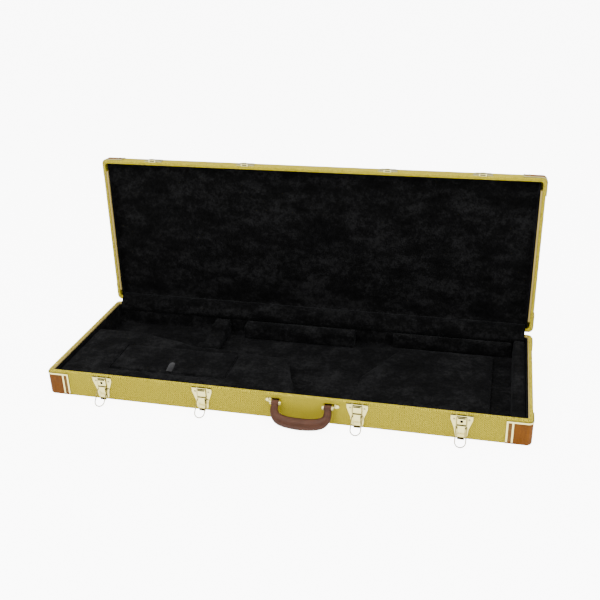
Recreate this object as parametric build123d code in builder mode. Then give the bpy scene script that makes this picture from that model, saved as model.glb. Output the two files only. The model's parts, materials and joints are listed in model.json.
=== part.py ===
from build123d import *
import math
import os

# Guitar case, open, lying on its base. Millimetres.
# Origin: centre of the base's flat bottom face. +X towards the body end, +Y towards the hinges, +Z up.

# ---------------------------------------------------------------- driving dimensions
case_length = 1040
case_width = 366
base_height = 60
lid_height = 32
wall = 7  # plywood and its tweed cover
panel = 5
corner_radius = 10
edge_radius = 5
rim_round = 2.4
rim_gap = 0.6  # between the two rims when the lid is shut
lid_open_angle = 91.4

lip_thickness = 2.4  # inner step of the base's rim
lid_strip = 4.6  # the same step at the lid's ends
lip_drop = 1.0
lining = 3
lining_drop = 4
lid_pad_thickness = 5
pad_height = 44
shelf_top = 50

cap_length = 50  # corner cap along the front
cap_depth = 40  # corner cap along the end
cap_skin = 1.4
cap_rim_drop = 5
edging_width = 3.6
edging_proud = 0.9

hinge_xs = (-390, -130, 130, 390)
hinge_length = 62
hinge_offset = 3.3  # hinge axis behind the rear wall
hinge_radius = 3.0
hinge_pin_radius = 1.5
hinge_leaf = 1.4
leaf_height = 22

latch_xs = (-389, -159, 175, 384)
locking_latches = (1, 4)
plate = 1.5  # latch base plate
lever_pivot_out = 5.0
lever_pivot_z = 34.5
bail_pivot_out = 4.5
bail_pivot_z = 28.4
latch_pin_radius = 1.0
wire_radius = 1.1
bail_half_width = 10.7
bail_reach = 38  # pivot to tip, on the wire's centre line
bail_lean = 44.3  # from hanging straight down, with its tip on the surface below
lock_z = 44.5
lock_radius = 2.8

handle_x = 60
handle_half_span = 55.5
handle_out = 9
handle_z = 45
handle_lean = 32.5  # from hanging straight down, with the grip on the surface below
handle_strap = 15
axle_radius = 2.5

box_x = (-400, -130)  # accessory compartment
box_y = (-126, -16)
box_floor = 13
box_wall = 3
box_lid_thickness = 7

running_fit = 0.06  # radial, on a pin
clearance = 0.4  # between pieces that move past each other

# ---------------------------------------------------------------- derived places
front = -case_width / 2
rear = case_width / 2
hinge_y = rear + hinge_offset
hinge_z = base_height + rim_gap / 2
lid_bottom = base_height + rim_gap
inner_length = case_length - 2 * wall
inner_width = case_width - 2 * wall
lip_length = inner_length - 2 * lip_thickness
lip_width = inner_width - 2 * lip_thickness
lid_lining_length = inner_length - 2 * lid_strip - 2 * lining
floor_z = panel + lining
pad_x = lip_length / 2 - lining - clearance  # how far the pads reach
pad_y = lip_width / 2 - lining - clearance

os.makedirs("parts", exist_ok=True)


def save(builder, name):
    builder.part.label = name
    export_step(builder.part, f"parts/{name}.step")


# ---------------------------------------------------------------- working planes
to_hinge = Location((0, hinge_y, hinge_z))
from_hinge = Location((0, -hinge_y, -hinge_z))
lid_swing = to_hinge * Location((0, 0, 0), (-lid_open_angle, 0, 0)) * from_hinge


def on_lid(plane):
    """A plane given for the shut lid, where it stands on the open lid."""
    return Plane(lid_swing * plane.location)


def on_base(plane):
    return plane


def front_plane(x=0.0, out=0.0, z=0.0):
    """Sketch X runs along the case, sketch Y up, and extrusions go outwards from the front wall."""
    return Plane(origin=(x, front - out, z), x_dir=(1, 0, 0), z_dir=(0, -1, 0))


def rear_plane(x=0.0, out=0.0, z=0.0):
    """Sketch X runs back along the case, sketch Y up, and extrusions go outwards from the rear wall."""
    return Plane(origin=(x, rear + out, z), x_dir=(-1, 0, 0), z_dir=(0, 1, 0))


def side_plane(x=0.0):
    """Sketch X runs outwards from the front wall, sketch Y up."""
    return Plane(origin=(x, front, 0), x_dir=(0, -1, 0), z_dir=(-1, 0, 0))


# the panel's outer face, with Z from the panel to the rim; the lid's Y runs to its front edge
base_panel = Plane.XY
lid_panel = on_lid(Plane(origin=(0, 0, lid_bottom + lid_height), x_dir=(1, 0, 0), z_dir=(0, 0, -1)))


# ---------------------------------------------------------------- shells and corner caps
def outline_block(plane, grow, height):
    """The case's outside as a solid, grown sideways, with its panel edges rounded."""
    with BuildPart() as block:
        with BuildSketch(plane):
            RectangleRounded(case_length + 2 * grow, case_width + 2 * grow, corner_radius + grow)
        extrude(amount=height)
        panel_face = block.faces().sort_by(Axis(plane.origin, plane.z_dir))[0]
        fillet(panel_face.edges(), edge_radius + grow)
    return block


def corner_bounds(side_x, side_y, inset):
    """Centre and size of the area at one corner, from inset inside its cap's edges out past the case."""
    beyond = 20
    centre = (
        side_x * (case_length / 2 + (beyond - cap_length + inset) / 2),
        side_y * (case_width / 2 + (beyond - cap_depth + inset) / 2),
    )
    return centre, (beyond + cap_length - inset, beyond + cap_depth - inset)


def corner_zone(plane, side_x, side_y, low, high):
    """The space that one corner cap covers, between two heights."""
    centre, size = corner_bounds(side_x, side_y, 0)
    with BuildPart() as zone:
        with BuildSketch(plane.offset(low)):
            with Locations(centre):
                Rectangle(*size)
        extrude(amount=high - low)
    return zone


def edging_profile(plane, side_x, side_y, from_inset, to_inset, inner_grow):
    """Plan of an edging strip: the band between two insets, from inner_grow outside the case outwards."""
    grow = cap_skin + edging_proud
    centre, size = corner_bounds(side_x, side_y, from_inset)
    inner_centre, inner_size = corner_bounds(side_x, side_y, to_inset)
    with BuildSketch(plane) as profile:
        with Locations(centre):
            Rectangle(*size)
        if to_inset < cap_depth:
            with Locations(inner_centre):
                Rectangle(*inner_size, mode=Mode.SUBTRACT)
        RectangleRounded(
            case_length + 2 * grow, case_width + 2 * grow, corner_radius + grow, mode=Mode.INTERSECT
        )
        RectangleRounded(
            case_length + 2 * inner_grow,
            case_width + 2 * inner_grow,
            corner_radius + inner_grow,
            mode=Mode.SUBTRACT,
        )
    return profile


def make_half(name, plane, height, front_side):
    """Shell, four leather corner caps and their metal edgings, of the base or of the lid."""
    cap_top = height - cap_rim_drop
    sides = {
        "front_left": (-1, front_side),
        "front_right": (1, front_side),
        "rear_left": (-1, -front_side),
        "rear_right": (1, -front_side),
    }
    core = outline_block(plane.offset(cap_skin), 0, height)
    leather_form = outline_block(plane, cap_skin, height)

    with BuildPart() as recess:
        for side in sides.values():
            add(corner_zone(plane, *side, -1, cap_top).part)
        add(core.part, mode=Mode.SUBTRACT)

    with BuildPart() as shell:
        add(outline_block(plane, 0, height).part)
        rim_face = shell.faces().sort_by(Axis(plane.origin, plane.z_dir))[-1]
        fillet(rim_face.edges(), rim_round)
        with BuildSketch(plane.offset(panel)):
            RectangleRounded(inner_length, inner_width, corner_radius - wall / 2)
        extrude(amount=height, mode=Mode.SUBTRACT)
        add(recess.part, mode=Mode.SUBTRACT)
    save(shell, f"{name}_shell")

    edging_foot = edge_radius + cap_skin + 0.2  # above the rounded panel edge
    edging_top = cap_top - edging_width
    with BuildPart() as edgings:
        for side in sides.values():
            top_band = edging_profile(plane.offset(edging_top), *side, 0, cap_length, 0)
            posts = edging_profile(plane.offset(edging_foot), *side, 0, edging_width, 0)
            second_line = (3 * edging_width, 4 * edging_width)
            lines = edging_profile(plane.offset(edging_foot), *side, *second_line, cap_skin)
            extrude(top_band.sketch, amount=edging_width)
            extrude(posts.sketch, amount=edging_top - edging_foot)
            extrude(lines.sketch, amount=edging_top - edging_foot)
    save(edgings, f"{name}_cap_edgings")

    for corner, side in sides.items():
        with BuildPart() as cap:
            add(leather_form.part)
            add(core.part, mode=Mode.SUBTRACT)
            add(corner_zone(plane, *side, -1, cap_top).part, mode=Mode.INTERSECT)
            add(edgings.part, mode=Mode.SUBTRACT)
        save(cap, f"{name}_corner_cap_{corner}")


make_half("base", base_panel, base_height, -1)
make_half("lid", lid_panel, lid_height, 1)

# ---------------------------------------------------------------- rim lips and linings
with BuildPart() as base_rim_lip:
    with BuildSketch(Plane.XY.offset(panel)):
        RectangleRounded(inner_length, inner_width, corner_radius - wall / 2)
        RectangleRounded(lip_length, lip_width, 3, mode=Mode.SUBTRACT)
    extrude(amount=base_height - lip_drop - panel)
    fillet(base_rim_lip.faces().sort_by(Axis.Z)[-1].edges(), lip_thickness * 0.4)
save(base_rim_lip, "base_rim_lip")

with BuildPart() as base_lining:
    with BuildSketch(Plane.XY.offset(panel)):
        RectangleRounded(lip_length, lip_width, 3)
    extrude(amount=base_height - lining_drop - panel)
    with BuildSketch(Plane.XY.offset(floor_z)):
        Rectangle(lip_length - 2 * lining, lip_width - 2 * lining)
    extrude(amount=base_height, mode=Mode.SUBTRACT)
save(base_lining, "base_lining")

strip_ends = (25 - rear, rear - 28)  # from near the hinges to near the front corners
with BuildPart() as lid_rim_strips:
    with BuildSketch(lid_panel.offset(panel)):
        with Locations(*[
            (side * (inner_length - lid_strip) / 2, sum(strip_ends) / 2) for side in (-1, 1)
        ]):
            Rectangle(lid_strip, strip_ends[1] - strip_ends[0])
    extrude(amount=lid_height - lip_drop - panel)
    rim_axis = Axis(lid_panel.origin, lid_panel.z_dir)
    fillet(lid_rim_strips.faces().sort_by(rim_axis)[-2:].edges(), lid_strip * 0.4)
save(lid_rim_strips, "lid_rim_strips")

with BuildPart() as lid_lining:
    with BuildSketch(lid_panel.offset(panel)):
        RectangleRounded(inner_length, inner_width, corner_radius - wall / 2)
    extrude(amount=lid_height - lining_drop - panel)
    with BuildSketch(lid_panel.offset(floor_z)):
        Rectangle(lid_lining_length, inner_width - 2 * lining)
    extrude(amount=lid_height, mode=Mode.SUBTRACT)
    add(lid_rim_strips.part, mode=Mode.SUBTRACT)
save(lid_lining, "lid_lining")

with BuildPart() as lid_pad:
    with BuildSketch(lid_panel.offset(floor_z)):
        Rectangle(lid_lining_length - 2 * clearance, inner_width - 2 * lining - 2 * clearance)
    extrude(amount=lid_pad_thickness)
    fillet(lid_pad.faces().sort_by(rim_axis)[-1].edges(), lid_pad_thickness * 0.8)
save(lid_pad, "lid_pad")

# ---------------------------------------------------------------- pads on the base's floor
with BuildPart() as shelf_pad:
    with BuildSketch(Plane.XY.offset(floor_z)):
        with BuildLine():
            Line((-pad_x, 48), (-410, 50))
            Spline((-410, 50), (-334, 32), (-289, 22), (-255, 9), tangents=((1, 0), (3, -1)))
            Spline((-255, 9), (-205, 5), (-120, -3), (-14, -9), tangents=((3, -1), (1, 0)))
            Polyline((-14, -9), (28, -130), (38, -pad_y), (-pad_x, -pad_y), (-pad_x, 48))
        make_face()
    extrude(amount=shelf_top - floor_z)
    fillet(shelf_pad.faces().sort_by(Axis.Z)[-1].edges(), 6)
    with BuildSketch(Plane.XY.offset(box_floor - box_wall)):
        with Locations((sum(box_x) / 2, sum(box_y) / 2)):
            Rectangle(box_x[1] - box_x[0] + 2 * box_wall, box_y[1] - box_y[0] + 2 * box_wall)
    extrude(amount=shelf_top, mode=Mode.SUBTRACT)
save(shelf_pad, "shelf_pad")

with BuildPart() as neck_rest:
    with BuildSketch(Plane(origin=(-245, 0, 0), x_dir=(0, 1, 0), z_dir=(1, 0, 0))):
        with BuildLine():
            Polyline((165, floor_z), (13, floor_z), (13, pad_height), (34, pad_height))
            Spline((34, pad_height), (48, 31), (80, 26), (112, 31), (126, pad_height))
            Polyline((126, pad_height), (165, pad_height), (165, floor_z))
        make_face()
    extrude(amount=40)
    fillet(neck_rest.edges().filter_by(Axis.Y).group_by(Axis.Z)[-1], 4)
save(neck_rest, "neck_rest")


def make_pad(name, x_range, y_range, top, rounding):
    with BuildPart() as pad:
        with BuildSketch(Plane.XY.offset(floor_z)):
            with Locations((sum(x_range) / 2, sum(y_range) / 2)):
                Rectangle(x_range[1] - x_range[0], y_range[1] - y_range[0])
        extrude(amount=top - floor_z)
        fillet(pad.faces().sort_by(Axis.Z)[-1].edges(), rounding)
    save(pad, name)


make_pad("rear_neck_pad", (-165, 110), (135, pad_y), pad_height, 5)
make_pad("rear_body_pad", (200, 478), (156, pad_y), pad_height, 4)
make_pad("front_body_pad", (50, 478), (-pad_y, -156), pad_height, 4)
make_pad("end_pad", (479, pad_x), (-pad_y, pad_y), shelf_top, 5)

with BuildPart() as floor_cushion:
    with BuildSketch(Plane.XY.offset(floor_z)):
        with BuildLine():
            Polyline((224, 150), (440, 150), (440, -150), (140, -150), (149, -3), (224, 150))
        make_face()
        fillet(vertices(), 12)
    extrude(amount=9)
    fillet(floor_cushion.faces().sort_by(Axis.Z)[-1].edges(), 4)
save(floor_cushion, "floor_cushion")

# ---------------------------------------------------------------- accessory compartment
ledge = 4
ledge_z = shelf_top - box_lid_thickness - clearance
box_centre = (sum(box_x) / 2, sum(box_y) / 2)
box_size = (box_x[1] - box_x[0], box_y[1] - box_y[0])

with BuildPart() as accessory_box:
    with BuildSketch(Plane.XY.offset(box_floor - box_wall)):
        with Locations(box_centre):
            Rectangle(box_size[0] + 2 * box_wall, box_size[1] + 2 * box_wall)
    extrude(amount=shelf_top - 0.5 - box_floor + box_wall)
    with BuildSketch(Plane.XY.offset(box_floor)):
        with Locations(box_centre):
            Rectangle(box_size[0] - 2 * ledge, box_size[1])
    extrude(amount=shelf_top, mode=Mode.SUBTRACT)
    with BuildSketch(Plane.XY.offset(ledge_z)):
        with Locations(box_centre):
            Rectangle(*box_size)
    extrude(amount=shelf_top, mode=Mode.SUBTRACT)
save(accessory_box, "accessory_box")

with BuildPart() as accessory_lid:
    with BuildSketch(Plane.XY.offset(shelf_top - box_lid_thickness)):
        with Locations((box_centre[0], box_centre[1] - 0.3)):
            Rectangle(box_size[0] - 2 * clearance, box_size[1] - 3 * clearance)
    extrude(amount=box_lid_thickness)
    fillet(accessory_lid.faces().sort_by(Axis.Z)[-1].edges(), 1.5)
save(accessory_lid, "accessory_lid")

tab_x = -262
tab_width = 14
ribbon = 1.0
with BuildPart() as pull_tab:
    with BuildSketch(Plane(origin=(tab_x, -119, shelf_top), x_dir=(0, 1, 0), z_dir=(1, 0, 0))):
        with BuildLine():
            Polyline((-1.5, 0), (-2.8, 14), (-1.6, 22))
            ThreePointArc((-1.6, 22), (0, 23.4), (1.6, 22))
            Polyline((1.6, 22), (2.8, 14), (1.5, 0))
            Line((1.5, 0), (0.5, 0))
            Polyline((0.5, 0), (2.8 - ribbon, 14), (0.6, 22))
            ThreePointArc((0.6, 22), (0, 22.4), (-0.6, 22))
            Polyline((-0.6, 22), (ribbon - 2.8, 14), (-0.5, 0))
            Line((-0.5, 0), (-1.5, 0))
        make_face()
    extrude(amount=tab_width / 2, both=True)
save(pull_tab, "pull_tab")

# ---------------------------------------------------------------- draw latches
fold_out = 4.4  # the plate's top edge, folded forward, with gaps for the bail
housing_half = 9.1
housing_low = 37.3
housing_high = 53.5
housing_out = 5.0
sheet = 1.0  # housing and lever metal
ear_inner = 7.5
ear_outer = 8.6
ear_radius = 2.4
lever_half = 7.0
cheek = 1.2
curl_radius = 2.1
rivet_spots = ((-15, 47.5), (15, 47.5), (0, 11))
rivet_shank = 1.2
wall_depth = 5  # how far screws and rivets reach into the plywood


def make_latch_plate(number, x):
    with BuildPart() as body:
        with BuildSketch(front_plane(x)):
            with BuildLine():
                Polyline((0, 57.5), (22, 57.5), (22, 47), (14.5, 26), (12, 6), (0, 6))
                mirror(about=Plane.YZ)
            make_face()
            fillet(vertices().group_by(Axis.Y)[0], 5)
        extrude(amount=plate)
        with BuildSketch(front_plane(x, plate)):
            with Locations((0, 56.8)):
                Rectangle(43, 1.4)
            for side in (-1, 1):
                with Locations((side * bail_half_width, 56.8)):
                    Rectangle(2 * (wire_radius + 0.6), 1.4, mode=Mode.SUBTRACT)
        extrude(amount=fold_out - plate)
        with BuildSketch(front_plane(x, plate)):
            with Locations((0, (housing_low + housing_high) / 2)):
                Rectangle(2 * housing_half, housing_high - housing_low)
        extrude(amount=housing_out - plate)
        upright = body.edges().filter_by(Axis.Z).group_by(Axis.Y)[0]
        fillet(upright, 2)
        with BuildSketch(front_plane(x, plate)):
            with Locations((0, (housing_low + housing_high) / 2)):
                Rectangle(2 * (housing_half - sheet), housing_high - housing_low)
        extrude(amount=housing_out - plate - sheet, mode=Mode.SUBTRACT)
        for side in (-1, 1):
            with BuildSketch(side_plane(x + side * (ear_inner + ear_outer) / 2)):
                with Locations((lever_pivot_out, lever_pivot_z)):
                    Circle(ear_radius)
                with Locations((lever_pivot_out / 2, lever_pivot_z)):
                    Rectangle(lever_pivot_out, 2 * ear_radius)
                with Locations((lever_pivot_out, lever_pivot_z)):
                    Circle(latch_pin_radius, mode=Mode.SUBTRACT)
            extrude(amount=(ear_outer - ear_inner) / 2, both=True)
        if number in locking_latches:
            with BuildSketch(front_plane(x, plate + sheet)):
                with Locations((0, lock_z)):
                    Circle(lock_radius + running_fit)
            extrude(amount=housing_out, mode=Mode.SUBTRACT)
        with BuildSketch(front_plane(x)):
            with Locations(*rivet_spots):
                Circle(rivet_shank)
        extrude(amount=plate, mode=Mode.SUBTRACT)
    save(body, f"latch_plate_{number}")


def make_lever(number, x):
    """Hangs from a curl round its pin, down to a finger lip; two side cheeks carry the bail."""
    with BuildPart() as lever:
        with BuildSketch(side_plane(x)):
            with BuildLine():
                Polyline((5.9, 34.5), (5.9, 20), (3.2, 16.5), (3.2, 7), (6.2, 3.2), (7.2, 4.0))
                Polyline((7.2, 4.0), (4.4, 7.6), (4.4, 16), (7.1, 19.4), (7.1, 34.5), (5.9, 34.5))
            make_face()
            with Locations((lever_pivot_out, lever_pivot_z)):
                Circle(curl_radius)
        extrude(amount=lever_half, both=True)
        for side in (-1, 1):
            with BuildSketch(side_plane(x + side * (lever_half - cheek / 2))):
                with BuildLine():
                    Polyline((2.3, 34), (2.3, 26.5), (3.5, 25), (6.5, 25), (6.5, 34), (2.3, 34))
                make_face()
            extrude(amount=cheek / 2, both=True)
        with BuildSketch(side_plane(x)):
            with Locations((lever_pivot_out, lever_pivot_z)):
                Circle(latch_pin_radius + running_fit)
            with Locations((bail_pivot_out, bail_pivot_z)):
                Circle(wire_radius + running_fit)
        extrude(amount=lever_half + 1, both=True, mode=Mode.SUBTRACT)
    save(lever, f"latch_lever_{number}")


def make_bail(number, x):
    """A wire loop, its two ends bent inwards through the lever's cheeks."""
    lean = math.radians(bail_lean)
    bail_plane = Plane(
        origin=(x, front - bail_pivot_out, bail_pivot_z),
        x_dir=(1, 0, 0),
        z_dir=(0, -math.cos(lean), math.sin(lean)),
    )
    bend = 2.2
    inner_end = lever_half - cheek - clearance
    shoulder = bail_half_width - bail_reach
    with BuildPart() as bail:
        with BuildLine(bail_plane) as route:
            Line((inner_end, 0), (bail_half_width - bend, 0))
            RadiusArc((bail_half_width - bend, 0), (bail_half_width, -bend), bend)
            Line((bail_half_width, -bend), (bail_half_width, shoulder))
            ThreePointArc((bail_half_width, shoulder), (0, -bail_reach), (-bail_half_width, shoulder))
            Line((-bail_half_width, shoulder), (-bail_half_width, -bend))
            RadiusArc((-bail_half_width, -bend), (bend - bail_half_width, 0), bend)
            Line((bend - bail_half_width, 0), (-inner_end, 0))
        with BuildSketch(Plane(route.line @ 0, z_dir=route.line % 0)):
            Circle(wire_radius)
        sweep()
    save(bail, f"latch_bail_{number}")


def make_lock(number, x):
    with BuildPart() as lock:
        with BuildSketch(front_plane(x, plate + 0.4)):
            with Locations((0, lock_z)):
                Circle(lock_radius)
        extrude(amount=housing_out - plate)
        with BuildSketch(front_plane(x, housing_out - 1.5)):
            with Locations((0, lock_z + 0.5)):
                Circle(0.9)
            with Locations((0, lock_z - 0.6)):
                Rectangle(0.8, 2.2)
        extrude(amount=housing_out, mode=Mode.SUBTRACT)
    save(lock, f"lock_cylinder_{number}")


for index, latch_x in enumerate(latch_xs):
    make_latch_plate(index + 1, latch_x)
    make_lever(index + 1, latch_x)
    make_bail(index + 1, latch_x)
    if index + 1 in locking_latches:
        make_lock(index + 1, latch_x)

with BuildPart() as latch_pivot_pins:
    for latch_x in latch_xs:
        with BuildSketch(side_plane(latch_x)):
            with Locations((lever_pivot_out, lever_pivot_z)):
                Circle(latch_pin_radius)
        extrude(amount=ear_outer + 0.6, both=True)
save(latch_pivot_pins, "latch_pivot_pins")

with BuildPart() as latch_rivets:
    spots = [(latch_x + spot_x, spot_z) for latch_x in latch_xs for spot_x, spot_z in rivet_spots]
    with BuildSketch(front_plane(0, -wall_depth)):
        with Locations(*spots):
            Circle(rivet_shank)
    extrude(amount=wall_depth + plate)
    with BuildSketch(front_plane(0, plate)):
        with Locations(*spots):
            Circle(1.9)
    extrude(amount=0.6)
    fillet(latch_rivets.faces().group_by(Axis.Y)[0].edges(), 0.5)
save(latch_rivets, "latch_rivets")

# ---------------------------------------------------------------- catches on the lid
catch_plate = 1.2
hook_centre_k = bail_pivot_z + bail_reach - bail_half_width - lid_bottom
hook_radius = bail_half_width - wire_radius - 0.5
hook_front_k = -1.0
lip_k = 2.4
lip_out = 7.6
bridge_out = 5.2
hook_room = 6.1  # half the width of the space under the hook
catch_screw_spots = ((-14, 21), (14, 21))
screw_shank = 1.4


def catch_at(x, out=0.0):
    """On the lid's front wall: sketch Y is the distance from the rim towards the panel."""
    return on_lid(front_plane(x, out, lid_bottom))


def make_catch(number, x):
    with BuildPart() as catch:
        with BuildSketch(catch_at(x)):
            with BuildLine():
                Polyline((0, 2.6), (22, 2.6), (22, 8), (18, 26), (0, 26))
                mirror(about=Plane.YZ)
            make_face()
            fillet(vertices().group_by(Axis.Y)[-1], 6)
        extrude(amount=catch_plate)
        with BuildSketch(catch_at(x, 0.2)):
            with Locations((0, hook_centre_k)):
                Circle(hook_radius)
            with Locations((0, hook_front_k + 10)):
                Rectangle(40, 20, mode=Mode.INTERSECT)
        extrude(amount=lip_out - 0.2)
        with BuildSketch(catch_at(x, bridge_out)):
            with Locations((0, lip_k - 10)):
                Rectangle(40, 20)
        extrude(amount=lip_out, mode=Mode.SUBTRACT)
        with BuildSketch(catch_at(x, catch_plate)):
            Rectangle(2 * hook_room, 2 * (lip_k - 0.6))
        extrude(amount=bridge_out - catch_plate - sheet, mode=Mode.SUBTRACT)
        with BuildSketch(catch_at(x)):
            with Locations(*catch_screw_spots):
                Circle(screw_shank)
        extrude(amount=catch_plate, mode=Mode.SUBTRACT)
    save(catch, f"lid_catch_{number}")


for index, latch_x in enumerate(latch_xs):
    make_catch(index + 1, latch_x)

with BuildPart() as catch_screws:
    spots = [(latch_x + spot_x, spot_k) for latch_x in latch_xs for spot_x, spot_k in catch_screw_spots]
    with BuildSketch(catch_at(0, -wall_depth)):
        with Locations(*spots):
            Circle(screw_shank)
    extrude(amount=wall_depth + catch_plate)
    with BuildSketch(catch_at(0, catch_plate)):
        with Locations(*spots):
            Circle(2.6)
    extrude(amount=1.0)
    out_axis = Axis(catch_at(0).origin, catch_at(0).z_dir)
    fillet(catch_screws.faces().group_by(out_axis)[-1].edges(), 0.8)
save(catch_screws, "catch_screws")

# ---------------------------------------------------------------- carrying handle
ear_gap = handle_strap / 2 + clearance
bracket_ear = 2.2
loop_radius = 6
handle_ends = (handle_x - handle_half_span, handle_x + handle_half_span)
bracket_names = ("left", "right")
bracket_screws = {"left": (-18.5, 2), "right": (18.5, 2)}
bracket_shank = 1.6


def make_bracket(name, x, outward):
    with BuildPart() as bracket:
        with BuildSketch(front_plane(x, 0, handle_z)):
            with Locations((outward * 6.5, 1)):
                RectangleRounded(33, 9, 4.4)
        extrude(amount=plate)
        for side in (-1, 1):
            with BuildSketch(side_plane(x + side * (ear_gap + bracket_ear / 2))):
                with Locations((handle_out, handle_z)):
                    Circle(4.6)
                with Locations((handle_out / 2, handle_z)):
                    Rectangle(handle_out, 9.2)
                with Locations((handle_out, handle_z)):
                    Circle(axle_radius, mode=Mode.SUBTRACT)
            extrude(amount=bracket_ear / 2, both=True)
        with BuildSketch(front_plane(x, 0, handle_z)):
            with Locations(bracket_screws[name]):
                Circle(bracket_shank)
        extrude(amount=plate, mode=Mode.SUBTRACT)
    save(bracket, f"handle_bracket_{name}")


make_bracket("left", handle_ends[0], -1)
make_bracket("right", handle_ends[1], 1)

with BuildPart() as bracket_screw_set:
    spots = [
        (end + bracket_screws[name][0], bracket_screws[name][1])
        for name, end in zip(bracket_names, handle_ends)
    ]
    with BuildSketch(front_plane(0, -wall_depth, handle_z)):
        with Locations(*spots):
            Circle(bracket_shank)
    extrude(amount=wall_depth + plate)
    with BuildSketch(front_plane(0, plate, handle_z)):
        with Locations(*spots):
            Circle(3.6)
    extrude(amount=2.2)
    fillet(bracket_screw_set.faces().group_by(Axis.Y)[0].edges(), 1.8)
save(bracket_screw_set, "handle_bracket_screws")

with BuildPart() as handle_axles:
    for end in handle_ends:
        with BuildSketch(side_plane(end)):
            with Locations((handle_out, handle_z)):
                Circle(axle_radius)
        extrude(amount=ear_gap + bracket_ear, both=True)
        for side in (-1, 1):
            with BuildSketch(side_plane(end + side * (ear_gap + bracket_ear + 0.9))):
                with Locations((handle_out, handle_z)):
                    Circle(3.6)
            extrude(amount=0.9, both=True)
save(handle_axles, "handle_axles")

lean = math.radians(handle_lean)
handle_plane = Plane(
    origin=(handle_x, front - handle_out, handle_z),
    x_dir=(1, 0, 0),
    z_dir=(0, -math.cos(lean), math.sin(lean)),
)
# centre of each section, its direction along the handle, its width in the handle's plane, its thickness
grip_sections = (
    (55.5, -4.0, -90, 13.8, 9.0),
    (56.1, -15.5, -94, 17.0, 11.5),
    (49.0, -29.5, -141, 21.5, 15.0),
    (26.5, -37.2, -171, 24.0, 17.5),
    (0.0, -38.6, -180, 25.0, 18.5),
)

with BuildPart() as handle:
    mirrored = [(-x, y, -180 - turn, width, thick) for x, y, turn, width, thick in grip_sections[-2::-1]]
    for x, y, turn, width, thick in list(grip_sections) + mirrored:
        along = math.radians(turn)
        section_plane = Plane(
            origin=handle_plane.from_local_coords(Vector(x, y, 0)),
            x_dir=handle_plane.z_dir,
            z_dir=handle_plane.x_dir * math.cos(along) + handle_plane.y_dir * math.sin(along),
        )
        with BuildSketch(section_plane):
            Ellipse(thick / 2, width / 2)
    loft()
    for side in (-1, 1):
        loop_plane = side_plane(handle_x + side * handle_half_span)
        with BuildSketch(loop_plane):
            with Locations((handle_out, handle_z)):
                Circle(loop_radius)
        extrude(amount=handle_strap / 2, both=True)
    for side in (-1, 1):
        with BuildSketch(side_plane(handle_x + side * handle_half_span)):
            with Locations((handle_out, handle_z)):
                Circle(axle_radius + running_fit)
        extrude(amount=handle_strap, both=True, mode=Mode.SUBTRACT)
save(handle, "handle")

# ---------------------------------------------------------------- hinges
knuckle = hinge_length / 3
knuckle_gap = 0.35
leaf_start = hinge_radius + clearance  # the leaf's plain part, from the axis
leaf_screw_spots = [(x, -14) for x in (-22, 0, 22)]


def leaf_set(place, up, knuckle_offsets):
    """Leaves for all hinges; up is +1 for the lid's and -1 for the base's."""
    with BuildPart() as leaves:
        for hinge_x in hinge_xs:
            at = place(rear_plane(hinge_x, 0, hinge_z))
            with BuildSketch(at):
                with Locations((0, up * (leaf_start + leaf_height) / 2)):
                    Rectangle(hinge_length, leaf_height - leaf_start)
            extrude(amount=hinge_leaf)
            for offset in knuckle_offsets:
                length = knuckle - 2 * knuckle_gap
                with BuildSketch(at):
                    with Locations((offset * knuckle, up * (leaf_start / 2 + 0.35))):
                        Rectangle(length, leaf_start - 0.5)
                extrude(amount=hinge_leaf)
                across = place(Plane(
                    origin=(hinge_x - offset * knuckle, hinge_y, hinge_z), x_dir=(0, 1, 0), z_dir=(1, 0, 0)
                ))
                with BuildSketch(across):
                    Circle(hinge_radius)
                extrude(amount=length / 2, both=True)
            bore = place(Plane(origin=(hinge_x, hinge_y, hinge_z), x_dir=(0, 1, 0), z_dir=(1, 0, 0)))
            with BuildSketch(bore):
                Circle(hinge_pin_radius + (running_fit if up > 0 else 0))
            extrude(amount=hinge_length, both=True, mode=Mode.SUBTRACT)
            with BuildSketch(at):
                with Locations(*[(x, up * -y) for x, y in leaf_screw_spots]):
                    Circle(screw_shank)
            extrude(amount=hinge_leaf, mode=Mode.SUBTRACT)
    return leaves


def leaf_screw_set(place, up):
    with BuildPart() as screws:
        for hinge_x in hinge_xs:
            spots = [(x, up * -y) for x, y in leaf_screw_spots]
            with BuildSketch(place(rear_plane(hinge_x, -wall_depth, hinge_z))):
                with Locations(*spots):
                    Circle(screw_shank)
            extrude(amount=wall_depth + hinge_leaf)
            with BuildSketch(place(rear_plane(hinge_x, hinge_leaf, hinge_z))):
                with Locations(*spots):
                    Circle(2.5)
            extrude(amount=0.8)
    return screws


save(leaf_set(on_base, -1, (-1, 1)), "hinge_base_leaves")
save(leaf_set(on_lid, 1, (0,)), "hinge_lid_leaves")
save(leaf_screw_set(on_base, -1), "hinge_base_screws")
save(leaf_screw_set(on_lid, 1), "hinge_lid_screws")

with BuildPart() as hinge_pins:
    for hinge_x in hinge_xs:
        with BuildSketch(Plane(origin=(hinge_x, hinge_y, hinge_z), x_dir=(0, 1, 0), z_dir=(1, 0, 0))):
            Circle(hinge_pin_radius)
        extrude(amount=hinge_length / 2, both=True)
save(hinge_pins, "hinge_pins")
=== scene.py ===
"""A tweed guitar case, open, on a pale studio floor. Metres; the case's front is -Y."""

import json
import math

import bmesh
import bpy
from mathutils import Matrix, Vector, noise
from mathutils.bvhtree import BVHTree


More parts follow.
